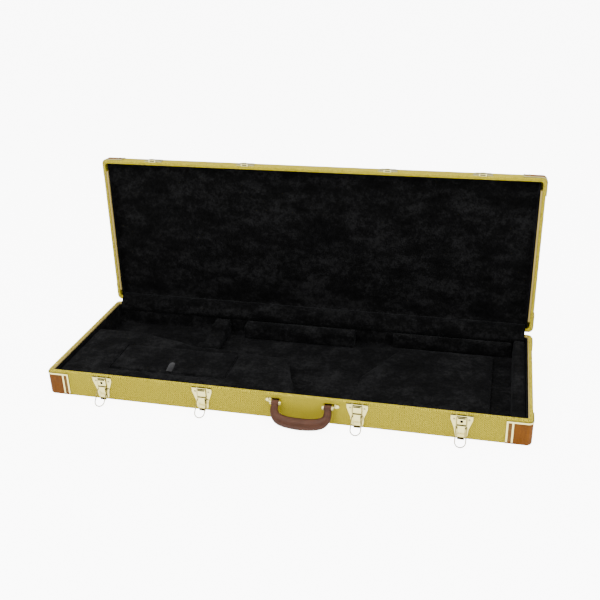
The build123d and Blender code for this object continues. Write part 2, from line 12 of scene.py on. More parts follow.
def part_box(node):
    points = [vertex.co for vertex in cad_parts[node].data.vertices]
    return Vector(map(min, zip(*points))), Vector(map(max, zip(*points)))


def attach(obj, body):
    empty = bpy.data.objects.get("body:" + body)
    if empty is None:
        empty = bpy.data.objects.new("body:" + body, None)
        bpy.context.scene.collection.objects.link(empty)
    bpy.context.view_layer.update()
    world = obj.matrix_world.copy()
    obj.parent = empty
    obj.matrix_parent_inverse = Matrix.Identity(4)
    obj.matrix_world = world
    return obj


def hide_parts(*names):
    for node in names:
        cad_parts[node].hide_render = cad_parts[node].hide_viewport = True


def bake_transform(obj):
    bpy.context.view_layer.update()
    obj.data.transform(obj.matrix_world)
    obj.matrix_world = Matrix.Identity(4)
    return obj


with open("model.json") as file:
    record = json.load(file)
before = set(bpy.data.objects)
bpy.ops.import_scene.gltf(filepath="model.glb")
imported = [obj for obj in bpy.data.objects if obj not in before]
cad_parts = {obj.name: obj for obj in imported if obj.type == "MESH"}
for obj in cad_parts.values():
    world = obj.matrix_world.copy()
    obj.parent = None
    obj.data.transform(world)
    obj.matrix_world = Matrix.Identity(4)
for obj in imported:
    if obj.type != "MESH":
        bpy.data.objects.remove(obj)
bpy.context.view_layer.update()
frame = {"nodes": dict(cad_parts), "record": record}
nodes = frame["nodes"]
record = frame["record"]

MM = 0.001
LATCHES = (1, 2, 3, 4)


def node_box(name):
    low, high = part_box(name)
    return Vector(low), Vector(high)


# ---------------------------------------------------------------- node-graph helpers
class Graph:
    """A material's node tree, with short ways to add and join nodes."""

    def __init__(self, name):
        self.material = bpy.data.materials.new(name)
        self.material.use_nodes = True
        self.tree = self.material.node_tree
        self.shader = self.tree.nodes["Principled BSDF"]

    def add(self, kind, **inputs):
        node = self.tree.nodes.new(kind)
        for name, value in inputs.items():
            self.feed(node, name.replace("_", " "), value)
        return node

    def feed(self, node, name, value):
        socket = node.inputs[name]
        if isinstance(value, bpy.types.NodeSocket):
            self.tree.links.new(value, socket)
        else:
            socket.default_value = value

    def math(self, operation, a, b=0.0, c=0.0):
        node = self.tree.nodes.new("ShaderNodeMath")
        node.operation = operation
        for socket, value in zip(node.inputs, (a, b, c)):
            if isinstance(value, bpy.types.NodeSocket):
                self.tree.links.new(value, socket)
            else:
                socket.default_value = value
        return node.outputs[0]

    def noise(self, scale, detail=3.0, roughness=0.5, vector=None, stretch=None):
        node = self.add("ShaderNodeTexNoise", Scale=scale, Detail=detail, Roughness=roughness)
        self.tree.links.new(self.place(stretch) if vector is None else vector, node.inputs["Vector"])
        return node.outputs["Fac"]

    def place(self, stretch=None):
        """Where a point is on the piece, in metres, stretched along each axis if asked."""
        coords = self.tree.nodes.new("ShaderNodeTexCoord").outputs["Object"]
        if stretch is None:
            return coords
        mapping = self.add("ShaderNodeMapping", Vector=coords)
        mapping.inputs["Scale"].default_value = stretch
        return mapping.outputs["Vector"]

    def ramp(self, fac, *stops):
        node = self.tree.nodes.new("ShaderNodeValToRGB")
        self.tree.links.new(fac, node.inputs["Fac"])
        elements = node.color_ramp.elements
        while len(elements) < len(stops):
            elements.new(0.5)
        for element, (position, colour) in zip(elements, stops):
            element.position = position
            element.color = (*colour, 1.0)
        return node.outputs["Color"]

    def mix(self, fac, a, b, blend="MIX"):
        node = self.tree.nodes.new("ShaderNodeMix")
        node.data_type = "RGBA"
        node.blend_type = blend
        for index, value in ((0, fac), (6, a), (7, b)):
            if isinstance(value, bpy.types.NodeSocket):
                self.tree.links.new(value, node.inputs[index])
            elif index == 0:
                node.inputs[index].default_value = value
            else:
                node.inputs[index].default_value = (*value, 1.0)
        return node.outputs[2]

    def bump(self, height, distance, strength=1.0, normal=None):
        node = self.add("ShaderNodeBump", Strength=strength, Distance=distance, Height=height)
        if normal is not None:
            self.tree.links.new(normal, node.inputs["Normal"])
        return node.outputs["Normal"]

    def finish(self, **inputs):
        for name, value in inputs.items():
            self.feed(self.shader, name.replace("_", " "), value)
        return self.material


def surface_coords(graph):
    """Two coordinates that run along the surface whichever way a flat face looks."""
    split = graph.add("ShaderNodeSeparateXYZ", Vector=graph.place())
    x, y, z = split.outputs
    coords = graph.tree.nodes.new("ShaderNodeTexCoord")
    facing = graph.add("ShaderNodeSeparateXYZ", Vector=coords.outputs["Normal"])
    faces_end = graph.math("GREATER_THAN", graph.math("ABSOLUTE", facing.outputs[0]), 0.71)
    faces_up = graph.math("GREATER_THAN", graph.math("ABSOLUTE", facing.outputs[2]), 0.71)
    along = graph.math("ADD", graph.math("MULTIPLY", faces_end, graph.math("SUBTRACT", y, x)), x)
    across = graph.math("ADD", graph.math("MULTIPLY", faces_up, graph.math("SUBTRACT", y, z)), z)
    return along, across


# ---------------------------------------------------------------- materials
def tweed_material():
    """Tweed: gold over olive yarns in a fine diagonal weave, each yarn a little uneven."""
    g = Graph("tweed")
    yarn_pitch = 3.2 * MM
    along, across = surface_coords(g)
    turns = math.tau / yarn_pitch / math.sqrt(2)
    diagonal = g.math("MULTIPLY", g.math("ADD", along, across), turns)
    counter = g.math("MULTIPLY", g.math("SUBTRACT", along, across), turns)
    warp = g.math("SINE", diagonal)
    weft = g.math("SINE", counter)
    halfway = g.math("MULTIPLY", g.math("ADD", diagonal, counter), 0.5)
    over = g.math("GREATER_THAN", g.math("SINE", halfway), 0.0)
    height = g.math("ADD", g.math("MULTIPLY", over, g.math("SUBTRACT", warp, weft)), weft)
    height01 = g.math("MULTIPLY_ADD", height, 0.5, 0.5)
    blotch = g.noise(9.0, 4.0)
    slub = g.noise(420.0, 2.0)
    thick = g.noise(430.0, 3.0, 0.7, stretch=(0.8, 0.8, 1.1))
    gold = g.mix(blotch, (0.76, 0.60, 0.020), (0.86, 0.72, 0.040))
    olive = g.mix(slub, (0.060, 0.044, 0.002), (0.20, 0.155, 0.005))
    shade = g.math("MULTIPLY_ADD", height01, 1.1, g.math("MULTIPLY_ADD", thick, 3.8, -1.90))
    yarn = g.mix(g.math("MINIMUM", g.math("MAXIMUM", shade, 0.0), 1.0), olive, gold)
    colour = g.mix(g.math("MULTIPLY", over, 0.14), yarn, (0.74, 0.64, 0.14))
    normal = g.bump(g.math("ADD", height01, g.math("MULTIPLY", slub, 0.35)), 0.3 * MM, 0.8)
    return g.finish(Base_Color=colour, Roughness=g.math("MULTIPLY_ADD", slub, 0.2, 0.5), Normal=normal,
                    Specular_IOR_Level=0.08)


def binding_material():
    """The paler tape that binds the rims: fine ribs across it, rubbed lighter in places."""
    g = Graph("rim_binding")
    along, across = surface_coords(g)
    ribs = g.math("SINE", g.math("MULTIPLY", g.math("ADD", along, across), math.tau / (1.3 * MM)))
    ribs01 = g.math("MULTIPLY_ADD", ribs, 0.5, 0.5)
    rubbed = g.noise(30.0, 3.0)
    pale = g.mix(rubbed, (0.58, 0.43, 0.115), (0.70, 0.56, 0.20))
    colour = g.mix(g.math("MULTIPLY", ribs01, 0.45), pale, (0.33, 0.23, 0.05))
    normal = g.bump(ribs01, 0.15 * MM, 0.6)
    return g.finish(Base_Color=colour, Roughness=0.6, Normal=normal, Specular_IOR_Level=0.2)


def plush_material():
    """Black short-pile plush: soft tufts that catch a little light, and streaks where it was stroked."""
    g = Graph("plush")
    tufts = g.noise(300.0, 3.0, 0.65)
    clumps = g.noise(95.0, 3.0, 0.6)
    strokes = g.noise(22.0, 4.0, 0.6, stretch=(0.8, 1.0, 1.5))
    fine = g.math("ADD", g.math("MULTIPLY", tufts, 0.75), g.math("MULTIPLY", clumps, 0.6))
    lit = g.math("MULTIPLY", fine, g.math("MULTIPLY_ADD", strokes, 0.75, 0.14))
    colour = g.ramp(lit, (0.22, (0.0008, 0.0008, 0.0008)), (0.34, (0.0030, 0.0030, 0.0031)),
                    (0.48, (0.0115, 0.0115, 0.0119)))
    height = g.math("ADD", g.math("MULTIPLY", tufts, 0.6), g.math("MULTIPLY", clumps, 1.0))
    normal = g.bump(height, 2.0 * MM, 1.0)
    return g.finish(Base_Color=colour, Roughness=0.95, Normal=normal, Specular_IOR_Level=0.05,
                    Sheen_Weight=0.022, Sheen_Roughness=0.45, Sheen_Tint=(0.92, 0.94, 1.0, 1.0))


def leather_material(name, deep, light, grain, streaks, rough_base, specular):
    """Leather: streaks along it, pores and creases, darker where the grain sinks."""
    g = Graph(name)
    streak = g.noise(120.0, 4.0, 0.6, stretch=streaks)
    cloud = g.noise(24.0, 3.0)
    pores = g.add("ShaderNodeTexVoronoi", Scale=grain, Vector=g.place())
    pores.feature = "DISTANCE_TO_EDGE"
    cell = g.math("MINIMUM", g.math("MULTIPLY", pores.outputs["Distance"], 6.0), 1.0)
    tone = g.math("ADD", g.math("MULTIPLY", streak, 0.65), g.math("MULTIPLY", cloud, 0.35))
    colour = g.ramp(tone, (0.3, deep), (0.68, light))
    colour = g.mix(g.math("MULTIPLY_ADD", cell, -0.45, 0.45), colour, tuple(v * 0.35 for v in deep))
    height = g.math("ADD", g.math("MULTIPLY", cell, 0.7), g.math("MULTIPLY", streak, 0.5))
    normal = g.bump(height, 0.22 * MM, 0.7)
    rough = g.math("MULTIPLY_ADD", cloud, 0.2, rough_base)
    return g.finish(Base_Color=colour, Roughness=rough, Normal=normal, Specular_IOR_Level=specular)


def painted_crevice_shade(g, reach):
    """Painted shade: 1 in the open, towards 0 where surfaces close in on each other."""
    node = g.add("ShaderNodeAmbientOcclusion", Distance=reach)
    node.samples = 8
    return g.math("POWER", node.outputs["AO"], 3.4)


def brass_material(name, deep, rubbed_to, dark_tops=False):
    """Pale plated brass: fine polishing lines, a few rubbed spots, and corners darkened, partly tarnished,
    partly painted shade.
    dark_tops paints a dark reflection on what looks up in the world, standing for the black inside of the
    case mirrored there."""
    g = Graph(name)
    lines = g.noise(900.0, 2.0, 0.5, stretch=(0.15, 1.0, 1.0))
    rubbed = g.noise(60.0, 3.0)
    bright = g.mix(rubbed, deep, rubbed_to)
    tarnish_and_painted_dark = (0.045, 0.030, 0.006)
    # painted shade and tarnished brass: the colour goes dark where surfaces close in
    colour = g.mix(painted_crevice_shade(g, 4.0 * MM), tarnish_and_painted_dark, bright)
    if dark_tops:
        # painted reflection: faces that look up take the dark colour, as if mirroring the black plush
        geometry = g.tree.nodes.new("ShaderNodeNewGeometry")
        facing = g.add("ShaderNodeSeparateXYZ", Vector=geometry.outputs["Normal"])
        colour = g.mix(g.math("GREATER_THAN", facing.outputs[2], 0.6), colour, tarnish_and_painted_dark)
    rough = g.math("MULTIPLY_ADD", rubbed, 0.14, 0.12)
    normal = g.bump(lines, 0.03 * MM, 0.5)
    return g.finish(Base_Color=colour, Metallic=1.0, Roughness=rough, Normal=normal)


def ribbon_material():
    g = Graph("grey_ribbon")
    split = g.add("ShaderNodeSeparateXYZ", Vector=g.place())
    ribs = g.math("SINE", g.math("MULTIPLY", split.outputs[2], math.tau / (1.1 * MM)))
    colour = g.mix(g.math("MULTIPLY_ADD", ribs, 0.5, 0.5), (0.040, 0.040, 0.042), (0.075, 0.075, 0.079))
    return g.finish(Base_Color=colour, Roughness=0.7, Normal=g.bump(ribs, 0.12 * MM), Sheen_Weight=0.1)


def thread_material(name, colour):
    g = Graph(name)
    fibres = g.noise(2500.0, 2.0)
    shade = g.mix(fibres, tuple(v * 0.6 for v in colour), colour)
    normal = g.bump(fibres, 0.1 * MM)
    return g.finish(Base_Color=shade, Roughness=0.75, Normal=normal, Specular_IOR_Level=0.03)


MATERIALS = {
    "tweed": tweed_material(),
    "rim_binding": binding_material(),
    "plush": plush_material(),
    "corner_leather": leather_material(
        "corner_leather", (0.135, 0.044, 0.004), (0.305, 0.102, 0.008), 700.0, (1.0, 1.0, 0.16), 0.42, 0.14),
    "handle_leather": leather_material(
        "handle_leather", (0.052, 0.018, 0.008), (0.118, 0.041, 0.018), 900.0, (0.3, 1.0, 1.0), 0.26, 0.24),
    "gold_metal": brass_material("gold_metal", (0.97, 0.86, 0.30), (1.0, 0.93, 0.44)),
    "latch_metal": brass_material("latch_metal", (0.95, 0.83, 0.26), (1.0, 0.92, 0.42), dark_tops=True),
    "wire_metal": brass_material("wire_metal", (0.11, 0.09, 0.025), (0.42, 0.36, 0.12)),
    "rivet_metal": brass_material("rivet_metal", (0.30, 0.27, 0.15), (0.45, 0.41, 0.24)),
    # dark_gap is painted shade: near black standing for the shadow in keyholes and slots
    "dark_gap": thread_material("dark_gap", (0.003, 0.0025, 0.002)),
    "grey_ribbon": ribbon_material(),
    "thread": thread_material("thread", (0.022, 0.010, 0.007)),
    "pale_thread": thread_material("pale_thread", (0.60, 0.47, 0.20)),
}
SPECIAL_LOOKS = {
    "base_rim_lip": "rim_binding",
    "lid_rim_strips": "rim_binding",
    # the lock cylinders take dark_gap, painted shade for their dark keyholes
    "lock_cylinder_1": "dark_gap",
    "lock_cylinder_4": "dark_gap",
    "latch_rivets": "rivet_metal",
}
for number in LATCHES:
    SPECIAL_LOOKS[f"latch_plate_{number}"] = "latch_metal"
    SPECIAL_LOOKS[f"latch_lever_{number}"] = "latch_metal"
    SPECIAL_LOOKS[f"latch_bail_{number}"] = "wire_metal"


def repaint_cad_nodes():
    """Every CAD node that stays in view gets the full material of its slot."""
    for part in record["subparts"]:
        node = nodes[part["node"]]
        look = SPECIAL_LOOKS.get(part["node"], part["material_slot"])
        node.data.materials.clear()
        node.data.materials.append(MATERIALS[look])


# ---------------------------------------------------------------- mesh helpers
def new_object(name, mesh):
    piece = bpy.data.objects.new(name, mesh)
    bpy.context.scene.collection.objects.link(piece)
    return piece


def object_from(name, bm, material, smooth=True):
    mesh = bpy.data.meshes.new(name)
    bm.to_mesh(mesh)
    bm.free()
    mesh.materials.append(material)
    mesh.polygons.foreach_set("use_smooth", [smooth] * len(mesh.polygons))
    return new_object(name, mesh)


def apply_modifiers(piece):
    """Leaves the piece with the mesh that its modifiers make, and none of them."""
    depsgraph = bpy.context.evaluated_depsgraph_get()
    mesh = bpy.data.meshes.new_from_object(piece.evaluated_get(depsgraph))
    old = piece.data
    piece.modifiers.clear()
    piece.data = mesh
    bpy.data.meshes.remove(old)


def copy_of_node(name, node):
    """A loose copy of a CAD node's mesh, welded shut."""
    bm = bmesh.new()
    bm.from_mesh(nodes[node].data)
    bmesh.ops.remove_doubles(bm, verts=bm.verts, dist=1e-5)
    return object_from(name, bm, MATERIALS["plush"])


def remeshed(piece, voxel):
    modifier = piece.modifiers.new("remesh", "REMESH")
    modifier.mode = "VOXEL"
    modifier.voxel_size = voxel
    apply_modifiers(piece)
    piece.data.polygons.foreach_set("use_smooth", [True] * len(piece.data.polygons))


def inflate(piece, pressure, cap, frames=14, pinned=None):
    """Puffs a closed cloth with air, then keeps each point within cap of where it began."""
    start = [vertex.co.copy() for vertex in piece.data.vertices]
    cloth = piece.modifiers.new("cloth", "CLOTH")
    settings = cloth.settings
    settings.use_pressure = True
    settings.uniform_pressure_force = pressure
    settings.effector_weights.gravity = 0.0
    settings.tension_stiffness = 40
    settings.bending_stiffness = 2.0
    settings.quality = 4
    if pinned is not None:
        group = piece.vertex_groups.new(name="pinned")
        group.add([i for i, co in enumerate(start) if pinned(co)], 1.0, "REPLACE")
        settings.vertex_group_mass = "pinned"
    scene = bpy.context.scene
    for step in range(1, frames + 1):
        scene.frame_set(step)
    apply_modifiers(piece)
    for vertex, origin in zip(piece.data.vertices, start):
        move = vertex.co - origin
        if move.length > cap:
            vertex.co = origin + move.normalized() * cap
    piece.vertex_groups.clear()
    scene.frame_set(1)


def fluff(piece, depth, tuft=4.5 * MM, clump=17 * MM, seed=0.0, keep_out=None):
    """Raises and lowers the surface as a soft pile does: small tufts on broader clumps."""
    mesh = piece.data
    normals = [vertex.normal.copy() for vertex in mesh.vertices]
    for vertex, normal in zip(mesh.vertices, normals):
        at = vertex.co
        small = noise.noise(at / tuft + Vector((seed, 0, 0)))
        broad = noise.noise(at / clump + Vector((0, seed, 3)))
        move = normal * depth * (0.6 * small + 0.5 * broad)
        if keep_out is not None:
            move *= keep_out(at)
        vertex.co = at + move
    mesh.update()


# ---------------------------------------------------------------- soft pieces: rig and places
def joint(name):
    return next(j for j in record["behaviour"]["joints"] if j["name"] == name)


LID_HINGE = Vector(joint("lid_hinge")["pos_m"])
LID_ANGLE = math.radians(joint("lid_hinge")["range_deg"][1])
HINGE_TO_WORLD = Matrix.Translation(LID_HINGE)
# from the shut lid's place to where it stands open
LID_OPEN = HINGE_TO_WORLD @ Matrix.Rotation(-LID_ANGLE, 4, "X") @ HINGE_TO_WORLD.inverted()

WALL = 7 * MM
PANEL = 5 * MM
LINING = 3 * MM
PAD_CLEARANCE = 0.4 * MM
LID_DEPTH = 32 * MM
SKIN_GAP = 0.25 * MM  # between a lining and the wall behind it
base_low, base_high = node_box("base_shell")
CASE_HALF = Vector((base_high.x, base_high.y))
LID_RIM_Z = LID_HINGE.z + (LID_HINGE.z - base_high.z)


def rounded_steps(radius, count=5):
    """Offset and height of a quarter-round from a floor up into a wall."""
    turns = [math.pi / 2 * i / count for i in range(count + 1)]
    return [(radius * math.sin(a), radius * (1 - math.cos(a))) for a in turns]


def lining_tray(name, half_x, half_y, floor, rim, back, wall, radius, cell, place=None):
    """A plush-lined tray as one closed skin. half_x and half_y reach its walls' inner faces;
    floor, rim and back are the heights of its floor, its top edge and the face glued to the panel."""
    up = 1 if rim > floor else -1
    flat_x, flat_y = half_x - radius, half_y - radius
    count_x, count_y = round(2 * flat_x / cell), round(2 * flat_y / cell)
    bm = bmesh.new()
    grid = [
        [bm.verts.new((-flat_x + 2 * flat_x * i / count_x, -flat_y + 2 * flat_y * j / count_y, floor))
         for j in range(count_y + 1)]
        for i in range(count_x + 1)
    ]
    for i in range(count_x):
        for j in range(count_y):
            bm.faces.new((grid[i][j], grid[i + 1][j], grid[i + 1][j + 1], grid[i][j + 1]))
    border = [(i, 0) for i in range(count_x)] + [(count_x, j) for j in range(count_y)]
    border += [(i, count_y) for i in range(count_x, 0, -1)] + [(0, j) for j in range(count_y, 0, -1)]
    ring = [grid[i][j] for i, j in border]
    outwards = [
        Vector(((i == count_x) - (i == 0), (j == count_y) - (j == 0), 0)) for i, j in border
    ]
    start = [vertex.co.copy() for vertex in ring]
    edge_round = wall / 2
    wall_foot, wall_top = floor + up * radius, rim - up * edge_round
    rows = max(2, round(abs(wall_top - wall_foot) / cell))
    profile = [(offset, floor + up * height) for offset, height in rounded_steps(radius)[1:]]
    profile += [(radius, wall_foot + (wall_top - wall_foot) * k / rows) for k in range(1, rows + 1)]
    for k in range(1, 6):
        turn = math.pi * k / 6
        offset = radius + edge_round * (1 - math.cos(turn))
        profile.append((offset, wall_top + up * edge_round * math.sin(turn)))
    profile += [(radius + wall, wall_top), (radius + wall, (wall_top + back) / 2), (radius + wall, back)]
    for offset, height in profile:
        fresh = [
            bm.verts.new((at.x + out.x * offset, at.y + out.y * offset, height))
            for at, out in zip(start, outwards)
        ]
        for k in range(len(ring)):
            after = (k + 1) % len(ring)
            bm.faces.new((ring[k], ring[after], fresh[after], fresh[k]))
        ring = fresh
    bm.faces.new(ring)
    bmesh.ops.recalc_face_normals(bm, faces=bm.faces)
    if place is not None:
        bmesh.ops.transform(bm, matrix=place, verts=bm.verts)
    return object_from(name, bm, MATERIALS["plush"])


def soften(piece, body, *stands_for, fill=0.7):
    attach(piece, body)
    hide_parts(*stands_for)
    return piece


def away_from_back(inner, reach):
    """1 on the side that shows, fading to 0 where the skin is glued to the wall behind."""
    def keep(at):
        return max(0.0, min(1.0, inner(at) / reach))
    return keep


# ---------------------------------------------------------------- linings
def build_base_lining():
    high = node_box("base_lining")[1]
    half_x, half_y = high.x - LINING, high.y - LINING
    piece = lining_tray("base_plush_lining", half_x, half_y, PANEL + LINING, high.z, PANEL + SKIN_GAP,
                        LINING - SKIN_GAP, 6 * MM, 5 * MM)
    inside = away_from_back(
        lambda at: min(half_x + 0.4 * MM - abs(at.x), half_y + 0.4 * MM - abs(at.y))
        if at.z > PANEL + 1 * MM else 0, 0.5 * MM)
    fluff(piece, 0.9 * MM, seed=1.0, keep_out=inside)
    soften(piece, "base", "base_lining")


def build_lid_lining():
    half_x = node_box("lid_pad")[1].x + PAD_CLEARANCE
    half_y = CASE_HALF.y - WALL - LINING
    panel_face = LID_RIM_Z + LID_DEPTH - PANEL
    pad_face = panel_face - LINING - 5 * MM
    piece = lining_tray("lid_plush_lining", half_x, half_y, pad_face, LID_RIM_Z + 4 * MM,
                        panel_face - SKIN_GAP, LINING - SKIN_GAP, 9 * MM, 5 * MM)
    inside = away_from_back(
        lambda at: min(half_x + 0.4 * MM - abs(at.x), half_y + 0.4 * MM - abs(at.y))
        if at.z < panel_face - 1 * MM else 0, 0.5 * MM)
    for vertex in piece.data.vertices:
        at = vertex.co
        if inside(at) > 0.9 and at.z > pad_face - 1 * MM:
            broad = noise.noise(Vector((at.x * 7, at.y * 12, 2.0)))
            broad += 0.5 * noise.noise(Vector((at.x * 19, at.y * 23, 5.0)))
            vertex.co.z = at.z - 1.8 * MM * broad
    piece.data.update()
    fluff(piece, 1.0 * MM, seed=4.0, keep_out=inside)
    piece.data.transform(LID_OPEN)
    soften(piece, "lid", "lid_lining", "lid_pad")


# ---------------------------------------------------------------- pads
def build_pad(node, name, voxel, pressure, cap, depth, seed, body="base", fill=0.8, shrink=0.0):
    """A plush-covered foam pad: a little crowned, with soft corners and a ruffled pile."""
    piece = copy_of_node(name, node)
    if shrink:
        centre = sum(node_box(node), Vector()) / 2
        size = node_box(node)[1] - node_box(node)[0]
        scale = [1 - 2 * shrink / extent for extent in size]
        for vertex in piece.data.vertices:
            vertex.co = centre + Vector(a * s for a, s in zip(vertex.co - centre, scale))
    remeshed(piece, voxel)
    floor = node_box(node)[0].z
    inflate(piece, pressure, cap, pinned=lambda co: co.z < floor + 2 * MM)
    lifted = away_from_back(lambda at: at.z - floor, 4 * MM)
    fluff(piece, depth, seed=seed, keep_out=lifted)
    for vertex in piece.data.vertices:
        vertex.co.z = max(vertex.co.z, floor + 0.2 * MM)
    return soften(piece, body, node, fill=fill)


def build_pads():
    build_pad("shelf_pad", "neck_shelf", 4.2 * MM, 0.5, 1.2 * MM, 1.1 * MM, 11.0, shrink=0.5 * MM)
    build_pad("neck_rest", "neck_rest_pad", 3.2 * MM, 1.0, 1.8 * MM, 1.0 * MM, 12.0, shrink=0.8 * MM)
    build_pad("rear_neck_pad", "rear_neck_bolster", 3.4 * MM, 1.0, 1.8 * MM, 1.0 * MM, 13.0, shrink=0.8 * MM)
    build_pad("rear_body_pad", "rear_body_bolster", 3.2 * MM, 0.8, 1.4 * MM, 1.0 * MM, 14.0, shrink=0.8 * MM)
    build_pad("front_body_pad", "front_body_bolster", 3.2 * MM, 0.8, 1.4 * MM, 1.0 * MM, 15.0,
              shrink=0.8 * MM)
    build_pad("end_pad", "end_bolster", 3.4 * MM, 0.8, 1.6 * MM, 1.0 * MM, 16.0, shrink=0.8 * MM)
    build_pad("floor_cushion", "body_cushion", 4.0 * MM, 2.0, 4.0 * MM, 1.0 * MM, 17.0, shrink=2.0 * MM)


# ---------------------------------------------------------------- accessory compartment
def build_accessory_box():
    low, high = node_box("accessory_box")
    centre = (low + high) / 2
    half = (high - low) / 2
    wall = 3 * MM
    place = Matrix.Translation((centre.x, centre.y, 0))
    piece = lining_tray("accessory_box_lining", half.x - wall, half.y - wall, low.z + wall, high.z - 0.5 * MM,
                        low.z + SKIN_GAP, wall - SKIN_GAP, 4 * MM, 5 * MM, place)
    soften(piece, "base", "accessory_box")


def build_accessory_lid():
    piece = copy_of_node("accessory_lid_pad", "accessory_lid")
    low, high = node_box("accessory_lid")
    centre = (low + high) / 2
    inset = 0.7 * MM
    scale = [1 - 2 * inset / extent for extent in high - low]
    for vertex in piece.data.vertices:
        vertex.co = centre + Vector(a * s for a, s in zip(vertex.co - centre, scale))
    remeshed(piece, 3.0 * MM)
    fluff(piece, 0.9 * MM, seed=21.0, keep_out=away_from_back(
        lambda at: min(at.x - low.x, high.x - at.x, at.y - low.y, high.y - at.y) - 1.2 * MM, 2 * MM))
    root = Vector(((node_box("pull_tab")[0] + node_box("pull_tab")[1]) / 2).xy)
    for vertex in piece.data.vertices:
        if vertex.co.z > centre.z:
            away = (vertex.co.xy - root).length
            crown = 1.6 * MM * min(1.0, min(vertex.co.x - low.x, high.x - vertex.co.x) / (30 * MM))
            vertex.co.z += crown * 0.5 - 2.2 * MM * math.exp(-(away / (9 * MM)) ** 2)
    piece.data.update()
    soften(piece, "accessory_lid", "accessory_lid")


def build_pull_tab():
    """A folded ribbon, its two layers sewn together near the root, leaning a little to the right."""
    low, high = node_box("pull_tab")
    centre = (low + high) / 2
    half_width = (high.x - low.x) / 2
    height = high.z - low.z
    lean = 0.52
    root_shift = 3.2 * MM
    across, rows = 12, 22
    bm = bmesh.new()
    layers = []
    for side in (-1, 1):
        layer = []
        for j in range(rows + 1):
            t = j / rows
            round_top = math.sqrt(max(0.0, 1 - max(0.0, (t - 0.62) / 0.38) ** 2.2))
            thick = (0.9 + 0.9 * math.sin(math.pi * t)) * MM
            row = []
            for i in range(across + 1):
                u = -1 + 2 * i / across
                x = u * half_width * max(round_top, 0.12)
                edge = (1 - abs(u) ** 4) * max(round_top, 0.05)
                at = Vector((centre.x + x + root_shift + lean * t * height,
                             centre.y + side * thick * (0.25 + 0.75 * edge),
                             low.z - 0.8 * MM + t * height))
                row.append(bm.verts.new(at))
            layer.append(row)
        layers.append(layer)
    for side, layer in enumerate(layers):
        for j in range(rows):
            for i in range(across):
                bm.faces.new((layer[j][i], layer[j][i + 1], layer[j + 1][i + 1], layer[j + 1][i]))
    rear_layer, front_layer = layers
    for j in range(rows):
        for i in (0, across):
            bm.faces.new((rear_layer[j][i], rear_layer[j + 1][i], front_layer[j + 1][i], front_layer[j][i]))
    for i in range(across):
        for j in (0, rows):
            bm.faces.new((rear_layer[j][i], rear_layer[j][i + 1], front_layer[j][i + 1], front_layer[j][i]))
    bmesh.ops.recalc_face_normals(bm, faces=bm.faces)
    piece = object_from("pull_ribbon", bm, MATERIALS["grey_ribbon"])
    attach(piece, "accessory_lid")
    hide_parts("pull_tab")


# ---------------------------------------------------------------- flap over the hinge gap
def build_hinge_flap():
    """Plush glued to the base's rear wall and to the lid's, bridging the gap between them."""
    inner = node_box("base_lining")[1] - Vector((LINING, LINING, 0))
    wall_y = inner.y
    hinge_y, hinge_z = LID_HINGE.y, LID_HINGE.z
    line = [
        (wall_y - 0.8 * MM, 0.044), (wall_y - 0.9 * MM, 0.051), (wall_y - 0.2 * MM, 0.0575),
        (wall_y + 3.0 * MM, 0.0632), (wall_y + 9.0 * MM, 0.0680), (hinge_y - 3 * MM, 0.0722),
        (hinge_y + 3 * MM, hinge_z + 14.6 * MM), (hinge_y + 11 * MM, hinge_z + 15.0 * MM),
        (hinge_y + 15 * MM, hinge_z + 14.7 * MM),
    ]
    half = min(inner.x, node_box("lid_pad")[1].x) - 1.5 * MM
    count = 200
    thick = 1.5 * MM
    bm = bmesh.new()
    sheets = []
    for side in (0, 1):
        rows = []
        for k, (y, z) in enumerate(line):
            before, after = line[max(k - 1, 0)], line[min(k + 1, len(line) - 1)]
            along = Vector((0, after[0] - before[0], after[1] - before[1])).normalized()
            out = Vector((0, -along.z, along.y))
            row = []
            for i in range(count + 1):
                x = -half + 2 * half * i / count
                ruffle = 0.9 * MM * noise.noise(Vector((x * 60, k * 0.7, 1.0))) * side
                row.append(bm.verts.new(Vector((x, y, z)) + out * (side * thick + ruffle)))
            rows.append(row)
        sheets.append(rows)
    under, over = sheets
    last = len(line) - 1
    for rows in sheets:
        for k in range(last):
            for i in range(count):
                bm.faces.new((rows[k][i], rows[k][i + 1], rows[k + 1][i + 1], rows[k + 1][i]))
    for k in (0, last):
        for i in range(count):
            bm.faces.new((under[k][i], under[k][i + 1], over[k][i + 1], over[k][i]))
    for i in (0, count):
        for k in range(last):
            bm.faces.new((under[k][i], under[k + 1][i], over[k + 1][i], over[k][i]))
    bmesh.ops.recalc_face_normals(bm, faces=bm.faces)
    piece = object_from("hinge_flap", bm, MATERIALS["plush"])
    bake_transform(piece)


# ---------------------------------------------------------------- stitching
def add_stitch(bm, centre, along, normal, length, width, height):
    """One thread stitch: a small rounded bead lying along its seam."""
    side = along.cross(normal).normalized()
    rings, around = 4, 6
    previous = None
    for k in range(rings + 1):
        t = -1 + 2 * k / rings
        swell = math.sqrt(max(0.0, 1 - t * t)) * 0.85 + 0.15
        ring = []
        for a in range(around):
            turn = math.tau * a / around
            ring.append(bm.verts.new(
                centre + along * (t * length / 2) + side * (math.cos(turn) * width / 2 * swell)
                + normal * (math.sin(turn) * height * swell)
            ))
        if previous:
            for a in range(around):
                b = (a + 1) % around
                bm.faces.new((previous[a], previous[b], ring[b], ring[a]))
        else:
            bm.faces.new(ring[::-1])
        previous = ring
    bm.faces.new(previous)


def stitch_piece(name, body, material, stitches):
    bm = bmesh.new()
    for stitch in stitches:
        add_stitch(bm, *stitch)
    bmesh.ops.recalc_face_normals(bm, faces=bm.faces)
    piece = object_from(name, bm, MATERIALS[material])
    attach(piece, body)


